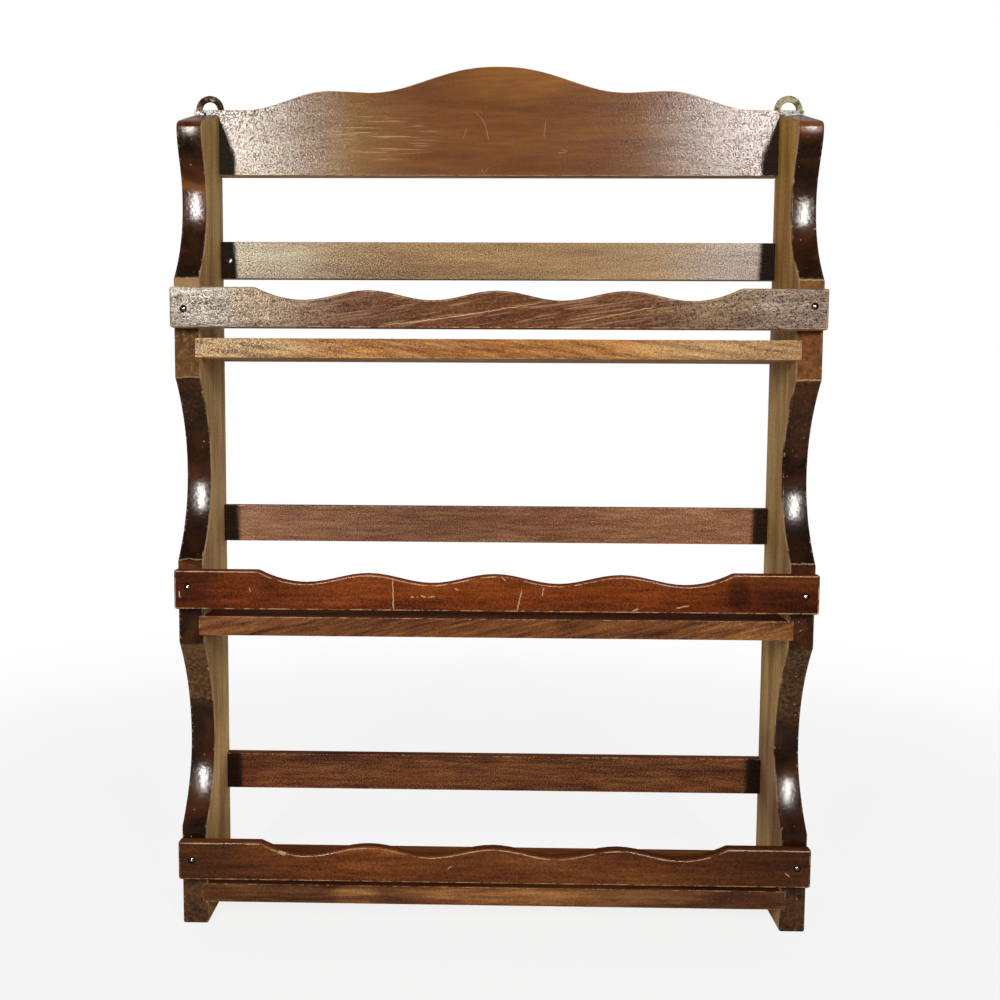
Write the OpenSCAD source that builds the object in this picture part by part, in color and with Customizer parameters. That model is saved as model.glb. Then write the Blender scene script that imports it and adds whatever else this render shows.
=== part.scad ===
// Wall spice rack of stained wood, with a shaped crest, two scooped sides,
// three shelves, three back slats and three scalloped gallery rails.
// The front faces -Y. The rack stands on its two feet at z = 0.

/* [Overall] */
// Width across the outer faces of the two sides
rack_width = 419; // [380:1:600]
// Depth of a side from its front flats to its back edge
side_depth = 67; // [55:1:120]
// Thickness of the side boards
side_thickness = 17; // [12:0.5:24]
// Height from one shelf to the next
tier_pitch = 183; // [150:1:240]
// Height of the bottom shelf's underside above the feet
foot_height = 15.3; // [8:0.1:50]

/* [Shelves] */
// Thickness of each shelf
shelf_thickness = 12.7; // [9:0.1:20]
// Depth of the grooves in the sides that house the shelves
dado_depth = 3.5; // [2:0.5:7]

/* [Gallery rails] */
// Height of a rail at its ends
rail_height = 26; // [20:0.5:40]
// Thickness of a rail
rail_thickness = 8; // [5:0.5:14]
// Length of rail past the outer face of each side
rail_overhang = 0.5; // [0:0.5:6]
// Open gap between a shelf's top and the rail above it
rail_gap = 6; // [2:0.5:12]
// Radius of a rail's outer corners
rail_corner = 2; // [0.5:0.5:4]
// Number of dips in a rail's upper edge
scallop_count = 4; // [2:1:6]
// Depth of a dip below the rail's end height
scallop_depth = 8; // [4:0.5:12]
// Depth of the humps between dips below the end height
hump_drop = 1.8; // [0.5:0.1:3.5]
// Full-height length at each end of a rail
scallop_margin = 55; // [30:1:70]
// Length of the scoop from the full-height end to the first dip
scallop_run = 31; // [15:1:40]

/* [Side boards] */
// Rise of the lower cove's start above the bottom rail
lower_cove_start = 7.5; // [2:0.5:20]
// Drop of the lower cove's end below the middle shelf
lower_cove_end = 5; // [2:0.5:20]
// Rise of the lower cove's deepest point above its start
lower_waist_rise = 54; // [35:1:70]
// Depth of the lower cove
lower_cove_depth = 26; // [10:0.5:30]
// Rise of the middle cove's start above the middle rail
middle_cove_start = 5; // [2:0.5:20]
// Drop of the middle cove's end below the top shelf
middle_cove_end = 13; // [2:0.5:20]
// Rise of the middle cove's deepest point above its start
middle_waist_rise = 58; // [35:1:70]
// Depth of the middle cove
middle_cove_depth = 26; // [10:0.5:30]
// Rise of the top cove's start above the top rail
top_cove_start = 6; // [2:0.5:20]
// Rise of the top cove's deepest point above its start
top_waist_rise = 52; // [30:1:65]
// Depth of the top cove
top_cove_depth = 23.3; // [16:0.1:30]
// Setback of the rounded nose at the top of a side
nose_recess = 11.5; // [4:0.5:15]
// Radius of that nose
nose_radius = 6; // [2:0.5:10]
// Slope of a side's top end, rising to the back, in degrees
top_slope = 19; // [8:1:26]
// Radius of the front corner of a foot
foot_corner = 1.5; // [0.5:0.5:4]

/* [Back slats] */
// Height of each slat
slat_height = 25.4; // [18:0.1:40]
// Thickness of each slat
slat_thickness = 8; // [5:0.5:12]
// Rise of the lower slat above the bottom shelf
lower_slat_rise = 45.3; // [20:0.1:80]
// Rise of the middle slat above the middle shelf
middle_slat_rise = 43.2; // [20:0.1:80]
// Rise of the upper slat above the top shelf
upper_slat_rise = 44.8; // [20:0.1:80]
// Radius of the wall screw hole in the upper slat
screw_hole_radius = 1.8; // [1.2:0.1:3]
// Distance of the screw hole from the inner face of the left side
screw_hole_inset = 5.7; // [4:0.1:40]

/* [Crest] */
// Thickness of the crest panel
crest_thickness = 9.5; // [6:0.5:14]
// Rise of the crest's straight underside above the top shelf
crest_rise = 115.3; // [100:0.1:170]
// Height of the crest at its ends
crest_end_height = 44.1; // [36:0.1:60]
// Height of the crest at its two shoulders
crest_shoulder_height = 57; // [48:0.1:70]
// Height of the crest in the dips beside the arch
crest_dip_height = 55.9; // [46:0.1:68]
// Height of the crest at the top of its arch
crest_peak_height = 73.3; // [66:0.1:100]
// Length of the flat at each end of the crest
crest_end_flat = 34.5; // [22:0.5:50]
// Run of the slope from that flat up to a shoulder
crest_slope_run = 59; // [30:1:70]
// Run from a shoulder to the dip beside the arch
crest_dip_run = 29; // [12:1:36]
// Drop of a side's top below the crest's end, at the crest's face
side_top_drop = 3.2; // [1:0.1:8]

/* [Hangers] */
// Radius of the hole in a hanger's eye
eye_radius = 5.3; // [3:0.1:7]
// Width of metal round the eye
eye_band = 4.4; // [2.5:0.1:6]
// Thickness of the hanger plate
hanger_thickness = 1; // [0.6:0.1:2]
// Rise of the eye's centre above the end of the crest
eye_rise = 2.6; // [0:0.1:6]
// Distance from the eye's centre down to the lower end's centre
hanger_length = 24; // [20:0.5:32]
// Radius of the hanger's lower end
hanger_tip_radius = 5; // [3:0.5:8]
// Distance between the two nails of a hanger
hanger_nail_pitch = 9; // [7:0.5:12]

/* [Nails] */
// Radius of the nail shanks
nail_radius = 0.8; // [0.6:0.1:1.1]
// Radius of the domed nail heads
head_radius = 1.7; // [1.4:0.1:2.4]
// Height of the domed nail heads
head_height = 0.9; // [0.5:0.1:1.3]
// Radius of the dish that a rail nail's head sits in
dish_radius = 2.4; // [2.4:0.1:3.5]
// Depth of that dish
dish_depth = 0.5; // [0.2:0.1:1.2]
// Length of the nails in the rails
rail_nail_length = 25; // [15:1:40]
// Height of the rail nails above the underside of their rail
rail_nail_rise = 13.5; // [8:0.5:18]
// Height by which the rail nails were driven high or low
rail_nail_stagger = 1.5; // [0:0.1:3]
// Length of the nails in the back slats and the crest
back_nail_length = 26; // [18:1:40]
// Height of the crest's lower nails above its underside
crest_nail_rise = 5; // [4:0.5:8]
// Height between the crest's two nails at each end
crest_nail_pitch = 8.5; // [5:0.5:10]
// Length of the hanger nails
hanger_nail_length = 18; // [12:1:30]
// Length of the finishing nails through the sides into the shelves
shelf_nail_length = 34; // [30:1:50]
// Radius of the finishing nails' flat heads
brad_head_radius = 1.2; // [1.1:0.1:2]
// Thickness of the finishing nails' heads
brad_head_height = 0.8; // [0.4:0.1:1.5]
// Distance of the finishing nails from the front and back of a shelf
shelf_nail_inset = 14; // [8:0.5:20]

/* [Fits] */
// Play left round each wood joint
joint_gap = 0.1; // [0.05:0.05:0.3]
// Clearance of a pilot hole round its nail, on the radius
pilot_gap = 0.05; // [0.02:0.01:0.15]

/* [Hidden] */
$fn = 48;

// Depth positions, with the whole rack centred on y = 0
back_proud = hanger_thickness + head_height;
front_proud = max(0, head_height - dish_depth);
total_depth = front_proud + rail_thickness + side_depth + back_proud;
wall_y = total_depth / 2 - back_proud;
front_y = wall_y - side_depth;
rail_y = front_y - rail_thickness;

// Positions across the rack
outer_x = rack_width / 2;
inner_x = outer_x - side_thickness;
board_x = outer_x - side_thickness / 2;
rail_length = rack_width + 2 * rail_overhang;

// Heights of the shelf tops, rails, slats and crest
shelf_z = [for (i = [0:2]) foot_height + shelf_thickness + i * tier_pitch];
rail_z = [for (z = shelf_z) z + rail_gap];
slat_z = [shelf_z[0] + lower_slat_rise, shelf_z[1] + middle_slat_rise, shelf_z[2] + upper_slat_rise];
crest_z = shelf_z[2] + crest_rise;
crest_end_z = crest_z + crest_end_height;
side_top_z = crest_end_z - side_top_drop;
eye_z = crest_end_z + eye_rise;
pilot_radius = nail_radius + pilot_gap;

// Cove heights along a side board
cove_a0 = rail_z[0] + rail_height + lower_cove_start;
cove_a1 = shelf_z[1] - shelf_thickness - lower_cove_end;
cove_b0 = rail_z[1] + rail_height + middle_cove_start;
cove_b1 = shelf_z[2] - shelf_thickness - middle_cove_end;
cove_c0 = rail_z[2] + rail_height + top_cove_start;
waist_c = cove_c0 + top_waist_rise;

// The nose's centre, where its arc meets the vertical and the sloped top
top_run = side_depth - crest_thickness - nose_recess - nose_radius;
nose_z = side_top_z - nose_radius / cos(top_slope) - top_run * tan(top_slope);

// Points [setback, height] of a cove between two heights, deepest at its waist
function cove(z0, z1, waist, depth, n = 14) = concat(
    [for (i = [0:n]) let (t = 1 - i / n)
        [depth * (1 - pow(t, 2.1)), waist - t * (waist - z0)]],
    [for (i = [1:n]) let (t = i / n)
        [depth * (1 - pow(t, 2.1)), waist + t * (z1 - waist)]]
);

// The top cove's lower half, then its reversed curve up to the nose
function top_cove(n = 14) = concat(
    [for (i = [0:n]) let (t = 1 - i / n)
        [top_cove_depth * (1 - pow(t, 2.1)), waist_c - t * top_waist_rise]],
    [for (i = [1:n]) let (t = i / n)
        [nose_recess + (top_cove_depth - nose_recess) * (1 + cos(180 * pow(t, 1.2))) / 2,
         waist_c + t * (nose_z - waist_c)]]
);

// Arc points about a centre, from one angle to another
function arc(cx, cz, r, a0, a1, n) = [for (i = [0:n]) let (a = a0 + (a1 - a0) * i / n)
    [cx + r * cos(a), cz + r * sin(a)]];

// Side outline as [setback from the front, height]
function side_outline() = concat(
    [[side_depth, 0]],
    arc(foot_corner, foot_corner, foot_corner, 270, 180, 4),
    cove(cove_a0, cove_a1, cove_a0 + lower_waist_rise, lower_cove_depth),
    cove(cove_b0, cove_b1, cove_b0 + middle_waist_rise, middle_cove_depth),
    top_cove(),
    [for (i = [1:8]) let (a = 180 - (90 - top_slope) * i / 8)
        [nose_recess + nose_radius * (1 + cos(a)), nose_z + nose_radius * sin(a)]],
    [[side_depth, side_top_z + crest_thickness * tan(top_slope)]]
);

// Height of the crest at a distance x from its middle
crest_low_x = outer_x - crest_end_flat;
crest_shoulder_x = crest_low_x - crest_slope_run;
crest_dip_x = crest_shoulder_x - crest_dip_run;
function ease(a, b, t) = a + (b - a) * (1 - cos(180 * t)) / 2;
function crest_height(x) =
    x < crest_dip_x ? ease(crest_peak_height, crest_dip_height, pow(x / crest_dip_x, 1.15)) :
    x < crest_shoulder_x ? ease(crest_dip_height, crest_shoulder_height, (x - crest_dip_x) / crest_dip_run) :
    x < crest_low_x ? ease(crest_shoulder_height, crest_end_height, (x - crest_shoulder_x) / crest_slope_run) :
    crest_end_height;
crest_half = concat(
    [for (i = [0:15]) crest_dip_x * i / 16],
    [for (i = [0:5]) crest_dip_x + crest_dip_run * i / 6],
    [for (i = [0:14]) crest_shoulder_x + crest_slope_run * i / 14],
    [outer_x]
);

// Drop of a rail's upper edge at a distance x from its middle
scoop_x = rail_length / 2 - scallop_margin;
dip_x = scoop_x - scallop_run;
scallop_pitch = 2 * dip_x / (scallop_count - 1);
function rail_drop(x) =
    abs(x) >= scoop_x ? 0 :
    abs(x) > dip_x ? scallop_depth * (1 - pow((abs(x) - dip_x) / scallop_run, 2)) :
    hump_drop + (scallop_depth - hump_drop) * (1 + cos(360 * (x + dip_x) / scallop_pitch)) / 2;
scallop_steps = 14 * (scallop_count - 1);
rail_xs = concat(
    [for (i = [0:8]) -scoop_x + scallop_run * i / 8],
    [for (i = [1:scallop_steps - 1]) -dip_x + 2 * dip_x * i / scallop_steps],
    [for (i = [0:8]) dip_x + scallop_run * i / 8]
);

// A board outline in x and z, given thickness towards +Y from y
module upright(y, thickness) {
    translate([0, y + thickness, 0])
        rotate([90, 0, 0])
            linear_extrude(height = thickness)
                children();
}

// A drilled hole along +Y from a point on its axis
module drill_y(x, y, z, length, radius) {
    translate([x, y, z])
        rotate([-90, 0, 0])
            cylinder(h = length, r = radius);
}

// A domed nail along +Z, with the head's underside at z = 0
module nail(length) {
    dome = (head_radius * head_radius + head_height * head_height) / (2 * head_height);
    intersection() {
        translate([0, 0, dome - head_height])
            sphere(r = dome);
        translate([0, 0, -head_height - 1])
            cylinder(h = head_height + 1, r = head_radius + 1);
    }
    translate([0, 0, -head_height / 3])
        cylinder(h = length + head_height / 3 - 2 * nail_radius, r = nail_radius);
    translate([0, 0, length - 2 * nail_radius])
        cylinder(h = 2 * nail_radius, r1 = nail_radius, r2 = 0.1);
}

// A finishing nail along +Z, with the top of its flat head at z = 0
module brad(length) {
    cylinder(h = brad_head_height, r = brad_head_radius);
    translate([0, 0, brad_head_height / 2])
        cylinder(h = length - brad_head_height / 2 - 2 * nail_radius, r = nail_radius);
    translate([0, 0, length - 2 * nail_radius])
        cylinder(h = 2 * nail_radius, r1 = nail_radius, r2 = 0.1);
}

// Height of the rail nail on one side of one tier, driven a little off the line
function rail_nail_z(tier, s) = rail_z[tier] + rail_nail_rise
    + rail_nail_stagger * s * (tier == 2 ? 1 : tier == 1 ? -1 : 0);
shelf_nail_y = [front_y + shelf_nail_inset, wall_y - shelf_nail_inset];
crest_nail_z = [crest_z + crest_nail_rise, crest_z + crest_nail_rise + crest_nail_pitch];
hanger_nail_z = [eye_z - hanger_length, eye_z - hanger_length + hanger_nail_pitch];

// A side board on the right, drilled for the nails of side s
module side_board(s) {
    difference() {
        translate([inner_x, 0, 0])
            rotate([90, 0, 90])
                linear_extrude(height = side_thickness)
                    polygon([for (p = side_outline()) [front_y + p[0], p[1]]]);
        // Grooves for the shelves, open at the front
        for (z = shelf_z)
            translate([inner_x - 1, front_y - 1, z - shelf_thickness])
                cube([dado_depth + joint_gap + 1, side_depth + 2, shelf_thickness + joint_gap]);
        // Notches for the slats, and the step for the crest
        for (z = slat_z)
            translate([inner_x - 1, wall_y - slat_thickness - joint_gap, z])
                cube([side_thickness + 2, slat_thickness + joint_gap + 1, slat_height + joint_gap]);
        translate([inner_x - 1, wall_y - crest_thickness - joint_gap, crest_z])
            cube([side_thickness + 2, crest_thickness + joint_gap + 1, crest_end_height + side_depth]);
        // Pilot holes from the front, the back and the outer face
        for (i = [0:2])
            drill_y(board_x, front_y - 1, rail_nail_z(i, s), rail_nail_length - rail_thickness + dish_depth + 2,
                pilot_radius);
        for (z = slat_z)
            drill_y(board_x, wall_y - back_nail_length - 1, z + slat_height / 2, back_nail_length + 2, pilot_radius);
        for (z = crest_nail_z)
            drill_y(board_x, wall_y - back_nail_length - 1, z, back_nail_length + 2, pilot_radius);
        for (z = hanger_nail_z)
            drill_y(board_x, wall_y - hanger_nail_length - 1, z, hanger_nail_length + 2, pilot_radius);
        for (z = shelf_z, y = shelf_nail_y)
            translate([outer_x + 1, y, z - shelf_thickness / 2])
                rotate([0, -90, 0]) {
                    cylinder(h = side_thickness + 2, r = pilot_radius);
                    cylinder(h = brad_head_height + 1, r = brad_head_radius + pilot_gap);
                }
    }
}

module left_side() {
    color("#3a2018")
        mirror([1, 0, 0])
            side_board(-1);
}

module right_side() {
    color("#3a2018")
        side_board(1);
}

module crest_panel() {
    color("#6b4430")
        difference() {
            upright(wall_y - crest_thickness, crest_thickness)
                polygon(concat(
                    [[-outer_x, crest_z], [outer_x, crest_z]],
                    [for (i = [len(crest_half) - 1:-1:0]) [crest_half[i], crest_z + crest_height(crest_half[i])]],
                    [for (i = [1:len(crest_half) - 1]) [-crest_half[i], crest_z + crest_height(crest_half[i])]]
                ));
            for (s = [-1, 1], z = concat(crest_nail_z, hanger_nail_z))
                drill_y(s * board_x, wall_y - crest_thickness - 1, z, crest_thickness + 2, pilot_radius);
        }
}

// A back slat across both sides, let into their notches
module slat(tier) {
    difference() {
        translate([-outer_x, wall_y - slat_thickness, slat_z[tier]])
            cube([rack_width, slat_thickness, slat_height]);
        for (s = [-1, 1])
            drill_y(s * board_x, wall_y - slat_thickness - 1, slat_z[tier] + slat_height / 2,
                slat_thickness + 2, pilot_radius);
    }
}

module upper_back_slat() {
    color("#8a6f57")
        difference() {
            slat(2);
            drill_y(-inner_x + screw_hole_inset, wall_y - slat_thickness - 1, slat_z[2] + slat_height / 2,
                slat_thickness + 2, screw_hole_radius);
        }
}

module middle_back_slat() {
    color("#6e4c44")
        slat(1);
}

module lower_back_slat() {
    color("#5c3427")
        slat(0);
}

// A shelf, housed in the grooves of both sides
module shelf(tier) {
    end_x = inner_x + dado_depth;
    difference() {
        translate([-end_x, front_y, shelf_z[tier] - shelf_thickness])
            cube([2 * end_x, side_depth, shelf_thickness]);
        for (s = [-1, 1], y = shelf_nail_y)
            translate([s * (end_x + 1), y, shelf_z[tier] - shelf_thickness / 2])
                rotate([0, -90 * s, 0])
                    cylinder(h = shelf_nail_length - side_thickness + dado_depth + 2, r = pilot_radius);
    }
}

module top_shelf() {
    color("#8c5f42")
        shelf(2);
}

module middle_shelf() {
    color("#7a4a31")
        shelf(1);
}

module bottom_shelf() {
    color("#7d5238")
        shelf(0);
}

// A gallery rail, nailed across the front of both sides
module rail(tier) {
    half = rail_length / 2;
    difference() {
        upright(rail_y, rail_thickness)
            translate([0, rail_z[tier]])
                polygon(concat(
                    arc(-half + rail_corner, rail_corner, rail_corner, 180, 270, 4),
                    arc(half - rail_corner, rail_corner, rail_corner, 270, 360, 4),
                    [[half, rail_height]],
                    [for (i = [len(rail_xs) - 1:-1:0]) [rail_xs[i], rail_height - rail_drop(rail_xs[i])]],
                    [[-half, rail_height]]
                ));
        for (s = [-1, 1]) {
            drill_y(s * board_x, rail_y - 1, rail_nail_z(tier, s), rail_thickness + 2, pilot_radius);
            drill_y(s * board_x, rail_y - 1, rail_nail_z(tier, s), dish_depth + 1, dish_radius);
        }
    }
}

module top_rail() {
    color("#7c573f")
        rail(2);
}

module middle_rail() {
    color("#6a3320")
        rail(1);
}

module bottom_rail() {
    color("#63301f")
        rail(0);
}

// A flat plate with an eye at its top and two nail holes, flat on the back
module hanger(s) {
    outer = eye_radius + eye_band;
    tilt = asin((outer - hanger_tip_radius) / hanger_length);
    difference() {
        upright(wall_y, hanger_thickness)
            translate([s * board_x, eye_z])
                union() {
                    circle(r = outer);
                    translate([0, -hanger_length])
                        circle(r = hanger_tip_radius);
                    polygon([
                        [outer * cos(tilt), -outer * sin(tilt)],
                        [-outer * cos(tilt), -outer * sin(tilt)],
                        [-hanger_tip_radius * cos(tilt), -hanger_length - hanger_tip_radius * sin(tilt)],
                        [hanger_tip_radius * cos(tilt), -hanger_length - hanger_tip_radius * sin(tilt)]
                    ]);
                }
        drill_y(s * board_x, wall_y - 1, eye_z, hanger_thickness + 2, eye_radius);
        for (z = hanger_nail_z)
            drill_y(s * board_x, wall_y - 1, z, hanger_thickness + 2, pilot_radius);
    }
}

module left_hanger() {
    color("#4a4034")
        hanger(-1);
}

module right_hanger() {
    color("#c9b37c")
        hanger(1);
}

// Nails driven forward from the back, with their heads on the plane y
module back_nails(xs, zs, y, length) {
    for (x = xs, z = zs)
        translate([x, y, z])
            rotate([90, 0, 0])
                nail(length);
}

module left_hanger_nails() {
    color("#8d8069")
        back_nails([-board_x], hanger_nail_z, wall_y + hanger_thickness, hanger_nail_length);
}

module right_hanger_nails() {
    color("#c9b37c")
        back_nails([board_x], hanger_nail_z, wall_y + hanger_thickness, hanger_nail_length);
}

module crest_nails() {
    color("#8f8a82")
        back_nails([-board_x, board_x], crest_nail_z, wall_y, back_nail_length);
}

module upper_slat_nails() {
    color("#8f8a82")
        back_nails([-board_x, board_x], [slat_z[2] + slat_height / 2], wall_y, back_nail_length);
}

module middle_slat_nails() {
    color("#8f8a82")
        back_nails([-board_x, board_x], [slat_z[1] + slat_height / 2], wall_y, back_nail_length);
}

module lower_slat_nails() {
    color("#8f8a82")
        back_nails([-board_x, board_x], [slat_z[0] + slat_height / 2], wall_y, back_nail_length);
}

// Finishing nails through both sides into one shelf's ends
module shelf_nails(tier) {
    for (s = [-1, 1], y = shelf_nail_y)
        translate([s * outer_x, y, shelf_z[tier] - shelf_thickness / 2])
            rotate([0, -90 * s, 0])
                brad(shelf_nail_length);
}

module top_shelf_nails() {
    color("#8f8a82")
        shelf_nails(2);
}

module middle_shelf_nails() {
    color("#8f8a82")
        shelf_nails(1);
}

module bottom_shelf_nails() {
    color("#8f8a82")
        shelf_nails(0);
}

// The two nails of one rail, their heads down in their dishes
module rail_nails(tier) {
    for (s = [-1, 1])
        translate([s * board_x, rail_y + dish_depth, rail_nail_z(tier, s)])
            rotate([-90, 0, 0])
                nail(rail_nail_length);
}

module top_rail_nails() {
    color("#d8cfbf")
        rail_nails(2);
}

module middle_rail_nails() {
    color("#d8cfbf")
        rail_nails(1);
}

module bottom_rail_nails() {
    color("#d8cfbf")
        rail_nails(0);
}

left_side();
right_side();
crest_panel();
upper_back_slat();
middle_back_slat();
lower_back_slat();
top_shelf();
middle_shelf();
bottom_shelf();
top_rail();
middle_rail();
bottom_rail();
left_hanger();
right_hanger();
left_hanger_nails();
right_hanger_nails();
crest_nails();
upper_slat_nails();
middle_slat_nails();
lower_slat_nails();
top_shelf_nails();
middle_shelf_nails();
bottom_shelf_nails();
top_rail_nails();
middle_rail_nails();
bottom_rail_nails();
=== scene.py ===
"""Finishes the wall spice rack: eased boards of stained wood, lacquer and wear,
brass hangers, nails, and the studio that it stands in.

Lengths are metres in the rack's own frame: +X right, +Y to the wall, +Z up,
with the two feet on z = 0."""

import math

import bmesh
import bpy
from mathutils import Matrix, Vector


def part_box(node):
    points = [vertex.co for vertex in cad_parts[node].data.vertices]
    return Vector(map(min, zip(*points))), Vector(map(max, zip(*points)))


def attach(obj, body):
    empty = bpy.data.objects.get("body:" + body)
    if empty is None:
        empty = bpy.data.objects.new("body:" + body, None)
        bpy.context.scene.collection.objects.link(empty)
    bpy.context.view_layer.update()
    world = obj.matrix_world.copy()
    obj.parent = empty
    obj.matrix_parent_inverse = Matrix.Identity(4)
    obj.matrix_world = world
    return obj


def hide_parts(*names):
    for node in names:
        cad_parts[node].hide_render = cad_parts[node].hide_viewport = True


bl_info = {
    "name": "Wall spice rack",
    "version": (1, 0, 0),
    "blender": (4, 5, 0),
    "location": "3D View > Sidebar > Spice rack",
    "description": "Finishes a wall spice rack of stained wood and lights it in a studio",
    "category": "Object",
}

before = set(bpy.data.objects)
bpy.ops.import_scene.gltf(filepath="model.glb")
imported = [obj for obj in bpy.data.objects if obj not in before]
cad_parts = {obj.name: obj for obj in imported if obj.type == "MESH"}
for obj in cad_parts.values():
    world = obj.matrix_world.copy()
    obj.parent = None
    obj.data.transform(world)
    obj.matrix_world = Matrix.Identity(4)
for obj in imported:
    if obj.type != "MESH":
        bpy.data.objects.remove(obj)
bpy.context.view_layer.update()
MM = 0.001

# Where the boards stand, read from the frame
SIDE_LOW, SIDE_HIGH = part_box("right_side")
INNER_X, OUTER_X = SIDE_LOW.x, SIDE_HIGH.x
BOARD_X = (INNER_X + OUTER_X) / 2
WALL_Y, SIDE_TOP = SIDE_HIGH.y, SIDE_HIGH.z
RAIL_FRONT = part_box("top_rail")[0].y

# Outer radius of a hanger's ring, and the height of the ring's middle
RING_RADIUS = 9.7 * MM
HANGER_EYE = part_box("left_hanger")[1].z - RING_RADIUS
# Every edge of a hanger within this of the ring's middle is rounded
RING_REACH = 12 * MM
# How far the dish round a rail nail reaches
DISH_REACH = 3 * MM
# Edges shorter than this go round a drilled hole and stay sharp
SHORT_EDGE = 0.52 * MM
# A face is at a height or depth when it is this close to it
CLOSE = 0.2 * MM
# An edge is an arris, a ring's edge, or shaded as a corner when it bends by more than these
ARRIS_BEND, RING_BEND, CORNER_BEND = math.radians(25), math.radians(60), math.radians(32)
# Sanding grit, drawn coarser than the real one so that it shows
GRIT = 0.9 * MM
# How far the torn borders of the lacquer wander up and down
TEAR = 4 * MM


def linear(code):
    """An sRGB hex colour as linear RGBA."""
    parts = [int(code[i : i + 2], 16) / 255 for i in (1, 3, 5)]
    return tuple(c / 12.92 if c <= 0.04045 else ((c + 0.055) / 1.055) ** 2.4 for c in parts) + (1.0,)


def shade(colour, *by):
    """A linear colour with each channel times its own factor."""
    return tuple(min(1.0, c * k) for c, k in zip(colour[:3], by)) + (1.0,)


def stain(label, code, note):
    """A colour property, given as an sRGB hex colour."""
    return bpy.props.FloatVectorProperty(
        name=label, description=note, subtype="COLOR", size=4, min=0.0, max=1.0, default=linear(code)
    )


def length(label, note, default, low, high):
    """A length property, given in millimetres."""
    return bpy.props.FloatProperty(
        name=label, description=note, unit="LENGTH", default=default * MM, min=low * MM, max=high * MM
    )


class RackColours(bpy.types.PropertyGroup):
    """Colours of the wood, its wear and the metal."""

    lacquer: stain("Edge lacquer", "#2c170b", "Dark lacquer on the front edges of the sides")
    side_inside: stain("Side inner face", "#b38d58", "Thin dull stain on the faces that look at the jars")
    side_outside: stain("Side outer face", "#5a3320", "Stain on the outer faces of the sides")
    crest: stain("Crest", "#744319", "Stain of the crest panel")
    upper_slat: stain("Upper slat", "#a07c52", "Stain of the upper back slat")
    middle_slat: stain("Middle slat", "#845539", "Stain of the middle back slat")
    lower_slat: stain("Lower slat", "#6c3b1b", "Stain of the lower back slat")
    top_shelf: stain("Top shelf", "#9c6229", "Stain of the top shelf")
    middle_shelf: stain("Middle shelf", "#6e3d1a", "Stain of the middle shelf")
    bottom_shelf: stain("Bottom shelf", "#683c1c", "Stain of the bottom shelf")
    top_rail: stain("Top rail", "#653612", "Stain of the top gallery rail")
    middle_rail: stain("Middle rail", "#773610", "Stain of the middle gallery rail")
    bottom_rail: stain("Bottom rail", "#6c3917", "Stain of the bottom gallery rail")
    worn: stain("Worn wood", "#c09a70", "Bare wood where the finish has rubbed off")
    bare: stain("Broken lacquer", "#7c5628", "Undercoat where the lacquer has broken away")
    old_brass: stain("Tarnished brass", "#5a4a38", "The left hanger, under its patina")
    new_brass: stain("Pale brass", "#9c9478", "The right hanger and the rail nails")
    nail_steel: stain("Nail steel", "#a19c94", "Heads of the back nails and finishing nails")


class RackSizes(bpy.types.PropertyGroup):
    """Roundings, grain and relief, in real lengths."""

    side_ease: length("Side rounding", "Radius of the sides' outer edges", 1.6, 0.2, 4)
    rail_ease: length("Rail rounding", "Radius of the rails' edges", 1.2, 0.3, 1.6)
    board_ease: length("Board rounding", "Radius of the edges of crest, slats and shelves", 0.45, 0.1, 1.2)
    hanger_ease: length("Hanger rounding", "Radius of the hanger plates' edges", 0.3, 0.05, 0.45)
    crown: length("Edge crown", "Rise of a side's front edge at the middle of its width", 0.4, 0, 1)
    figure_width: length("Figure width", "Width of the broad light and dark bands in the wood", 16, 4, 60)
    grain_spacing: length("Grain spacing", "Distance from one grain line to the next", 2.4, 0.8, 8)
    pore_width: length("Pore width", "Width of the open pores, drawn coarse enough to show", 0.7, 0.3, 3)


# ---------------------------------------------------------------- materials


def add(tree, kind, inputs=(), stops=(), **settings):
    """Adds one node with its settings, its values or links, and its ramp stops."""
    made = tree.nodes.new("ShaderNode" + kind)
    for name, value in settings.items():
        setattr(made, name, value)
    for key, value in dict(inputs).items():
        if isinstance(value, bpy.types.NodeSocket):
            tree.links.new(value, made.inputs[key])
        else:
            made.inputs[key].default_value = value
    for i, (place, colour) in enumerate(stops):
        ramp = made.color_ramp.elements
        point = ramp[i] if i < len(ramp) else ramp.new(place)
        point.position, point.color = place, colour
    return made


def new_material(name):
    """An empty node material and its tree."""
    material = bpy.data.materials.new(name)
    material.use_nodes = True
    material.node_tree.nodes.clear()
    return material, material.node_tree


def marks_mask(tree, place, marks, depth):
    """The scratches' depth, up to 1, on each straight line given as x, z to x, z and width in mm,
    and 0 elsewhere."""
    mask = None
    for x0, z0, x1, z1, width in marks:
        turn = math.atan2(z1 - z0, x1 - x0)
        half = math.hypot(x1 - x0, z1 - z0) / 2
        local = add(
            tree,
            "Mapping",
            {
                "Vector": place,
                "Location": ((x0 + x1) / 2 * MM, 0, (z0 + z1) / 2 * MM),
                "Rotation": (0, -turn, 0),
                "Scale": (half * MM, 1, width / 2 * MM),
            },
            vector_type="TEXTURE",
        )
        away = add(tree, "VectorMath", {0: local.outputs[0]}, operation="ABSOLUTE")
        parts = add(tree, "SeparateXYZ", {0: away.outputs[0]})
        far = add(tree, "Math", {0: parts.outputs[0], 1: parts.outputs[2]}, operation="MAXIMUM")
        one = add(
            tree, "MapRange", {"Value": far.outputs[0], "From Min": 1.15, "From Max": 0.75, "To Max": depth}
        ).outputs[0]
        mask = one if mask is None else add(tree, "Math", {0: mask, 1: one}, operation="MAXIMUM").outputs[0]
    return mask


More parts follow.
